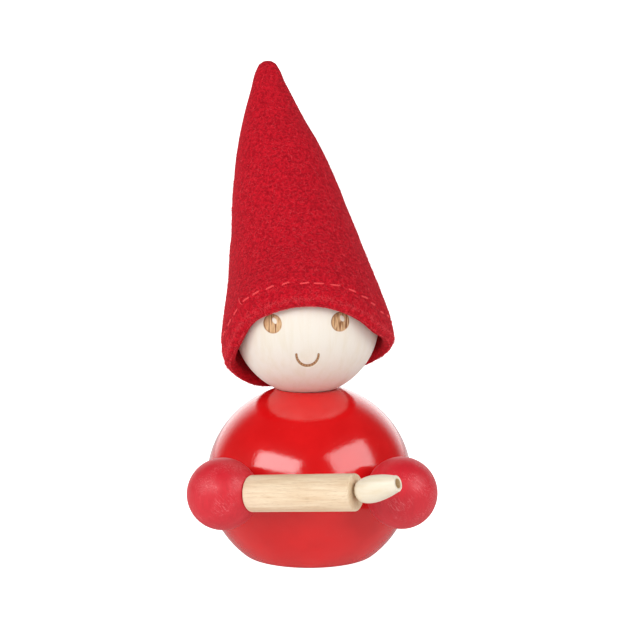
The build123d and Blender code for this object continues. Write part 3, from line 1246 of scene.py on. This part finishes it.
# %% [markdown]
# Close up, felt is covered in loose curly fibres that catch the light, most of all along the brim.
# They are one curve object: thousands of short bent lines, each a few points long, that start in the
# felt, lift a little off it and come back.

# %% Loose fibres
loose_wool, tree, shader, _ = new_material("loose_wool_fibres")
fill(tree, shader, Base_Color=(0.84, 0.065, 0.085, 1), Roughness=0.7, Specular_IOR_Level=0.2)

fuzz = bpy.data.curves.new("felt_fuzz", "CURVE")
fuzz.dimensions = "3D"
fuzz.bevel_depth = 0.023 * MM
fuzz.bevel_resolution = 0
fuzz.use_fill_caps = True
fibre_count, fibre_points = 5400, 5
lot = np.random.default_rng(11)
at_brim = lot.random(fibre_count) < 0.42
start_up = np.where(
    at_brim,
    lot.uniform(0.0, 1.6, fibre_count) * MM,
    hat_length * (1 - np.sqrt(lot.uniform(0.0, 1.0, fibre_count))),
)
start_around = lot.uniform(-math.pi, math.pi, fibre_count)
heading = lot.uniform(-math.pi, math.pi, fibre_count)
stride = lot.uniform(0.15, 0.52, fibre_count) * MM
curl = lot.normal(0, 0.55, fibre_count)
rise = lot.uniform(0.02, 0.30, fibre_count) * np.where(at_brim, 1.7, 1.0) * MM
lowest, highest = -0.35 * MM, hat_length - 0.8 * MM
fibre_up, fibre_around = [start_up], [start_around]
for step in range(1, fibre_points):
    heading = heading + curl + lot.normal(0, 0.25, fibre_count)
    up_now = np.clip(fibre_up[-1] + stride * np.sin(heading), lowest, highest)
    turned_by = stride * np.cos(heading) / np.maximum(outer_radius(up_now), 1.5 * MM)
    around_now = fibre_around[-1] + turned_by
    fibre_up.append(up_now)
    fibre_around.append(around_now)
lines = []
for step, (ups, arounds) in enumerate(zip(fibre_up, fibre_around)):
    lift = rise * math.sin(math.pi * step / (fibre_points - 1)) - 0.03 * MM
    wrapped = (arounds + math.pi) % math.tau - math.pi
    sunk = np.array([dent(h, a) for h, a in zip(ups, wrapped)])
    fold_in = 1.0 * MM * np.clip(1 - ups / fold_up, 0, 1) ** 2
    lines.append(felt_points(ups, outer_radius(ups) + sunk + lift - fold_in, wrapped))
for number in range(fibre_count):
    spline = fuzz.splines.new("POLY")
    spline.points.add(fibre_points - 1)
    for point, place_now in zip(spline.points, (line[number] for line in lines)):
        point.co = (*place_now, 1)
fuzz.materials.append(loose_wool)
fuzz_object = bpy.data.objects.new("felt_fuzz", fuzz)
bpy.context.scene.collection.objects.link(fuzz_object)
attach(fuzz_object, "hat")
print("loose fibres:", fibre_count)

# %% [markdown]
# The CAD nodes whose shape is already right keep it and only get their finish: the dowels, the pegs,
# the pin's axle and the thread of the back seam.

# %% Finish the CAD nodes that stay
kept = {
    "neck_dowel": dowel_wood,
    "free_hand_peg": dowel_wood,
    "holding_hand_peg": dowel_wood,
    "pin_axle": dowel_wood,
    "back_seam_thread": red_thread,
}
for name, material in kept.items():
    frame["nodes"][name].material_slots[0].material = material
print("kept CAD nodes:", sorted(kept))

# %% [markdown]

# %% [markdown]
# ## Stage, light and camera
# The figurine stands on a white table. The world is bright only behind it and nearly dark in front,
# so the front of the lacquer stays deep red. What the camera sees directly is white. The floor glows
# by kind of ray: white for the camera, softly for bounced light, and behind the figurine, where the
# lacquer's edges mirror it, a little for reflections too.

# %% The floor and the surround
floor_bm = bmesh.new()
bmesh.ops.create_grid(floor_bm, x_segments=2, y_segments=2, size=6.0)
floor_mesh = bpy.data.meshes.new("floor")
floor_bm.to_mesh(floor_mesh)
floor_bm.free()
floor = bpy.data.objects.new("floor", floor_mesh)
bpy.context.scene.collection.objects.link(floor)
floor_paint, tree, shader, place = new_material("white_table")
fill(tree, shader, Base_Color=(0.62, 0.62, 0.62, 1), Roughness=0.8, Specular_IOR_Level=0.1)
fill(tree, shader, Emission_Color=(1, 1, 1, 1))
ray = add(tree, "LightPath").outputs
glow = sums(tree, "MULTIPLY", ray["Is Camera Ray"], 1.15)
bounce = sums(tree, "MULTIPLY", ray["Is Diffuse Ray"], 0.47)
fully_lit_mm = 60.0
rearward_mm = add(tree, "SeparateXYZ", Vector=place).outputs["Y"]
behind = sums(tree, "DIVIDE", rearward_mm, fully_lit_mm, clamp=True)
mirrored = sums(tree, "MULTIPLY", sums(tree, "MULTIPLY", ray["Is Glossy Ray"], behind), 0.35)
lit = sums(tree, "ADD", sums(tree, "ADD", glow, bounce), mirrored)
fill(tree, shader, Emission_Strength=lit)
floor_paint.cycles.emission_sampling = "NONE"
floor.data.materials.append(floor_paint)

world = bpy.data.worlds.new("surround")
bpy.context.scene.world = world
world.use_nodes = True
tree = world.node_tree
tree.nodes.clear()
direction = add(tree, "TexCoord").outputs["Generated"]
parts = add(tree, "SeparateXYZ", Vector=direction)
backward = sums(tree, "ADD", sums(tree, "MULTIPLY", parts.outputs["Y"], 0.5), 0.5)
bright_behind = ramp(tree, backward, (0.78, 0.04), (0.97, 1.0))
seen = add(tree, "LightPath").outputs["Is Camera Ray"]
strength = sums(tree, "MULTIPLY", sums(tree, "MAXIMUM", seen, bright_behind), 1.5)
sky = add(tree, "Background", Color=(1.0, 1.0, 1.0, 1.0), Strength=strength)
tree.links.new(sky.outputs[0], add(tree, "OutputWorld").inputs[0])

# %% [markdown]
# Two big soft lamps in front, left and right, show as two windows in the lacquer. Three weaker ones
# fill the shade and are hidden from reflections, so that they add no windows of their own.

# %% The lamps
lamp_distance = 0.9
lamp_aim = Vector((0, 0, 0.04))


def softbox(name, azimuth, elevation, width, height, power):
    """A rectangular lamp that faces the figurine. Azimuth 0 is straight ahead of its face."""
    a, e = math.radians(azimuth), math.radians(elevation)
    back = Vector((math.sin(a) * math.cos(e), -math.cos(a) * math.cos(e), math.sin(e)))
    lamp = bpy.data.lights.new(name, "AREA")
    lamp.shape = "RECTANGLE"
    lamp.size, lamp.size_y = width, height
    lamp.energy = power
    holder = bpy.data.objects.new(name, lamp)
    holder.rotation_mode = "QUATERNION"
    holder.rotation_quaternion = back.to_track_quat("Z", "Y")
    holder.location = lamp_aim + back * lamp_distance
    bpy.context.scene.collection.objects.link(holder)
    return holder


softbox("left_window", -42, 29, 0.85, 0.30, 4.6)
softbox("right_window", 55, 31, 0.84, 0.46, 4.6)
fills = (("front_fill", 0, 16, 1.0), ("left_fill", -80, 14, 2.1), ("right_fill", 80, 14, 0.1))
for name, azimuth, elevation, power in fills:
    softbox(name, azimuth, elevation, 1.0, 0.4, power).visible_glossy = False

# %% [markdown]
# The camera looks down by seven degrees from half a metre away with a long lens, slightly from the
# left. The view transform is the plain one, so the reds stay as saturated as the dyes are.

# %% The camera
camera_azimuth, camera_down, camera_distance = math.radians(-1.6), math.radians(7), 0.5
look_at = Vector((0.00036, 0.0054, 0.0641))
toward = Vector(
    (
        -math.sin(camera_azimuth) * math.cos(camera_down),
        math.cos(camera_azimuth) * math.cos(camera_down),
        -math.sin(camera_down),
    )
)
lens = bpy.data.cameras.new("camera")
lens.sensor_width, lens.lens = 36, 110.1
lens.clip_start, lens.clip_end = 0.01, 50
camera = bpy.data.objects.new("camera", lens)
camera.rotation_mode = "QUATERNION"
camera.rotation_quaternion = toward.to_track_quat("-Z", "Y")
camera.location = look_at - toward * camera_distance
bpy.context.scene.collection.objects.link(camera)
bpy.context.scene.camera = camera
bpy.context.scene.view_settings.view_transform = "Standard"
print("camera at, mm:", [round(c / MM, 1) for c in camera.location])
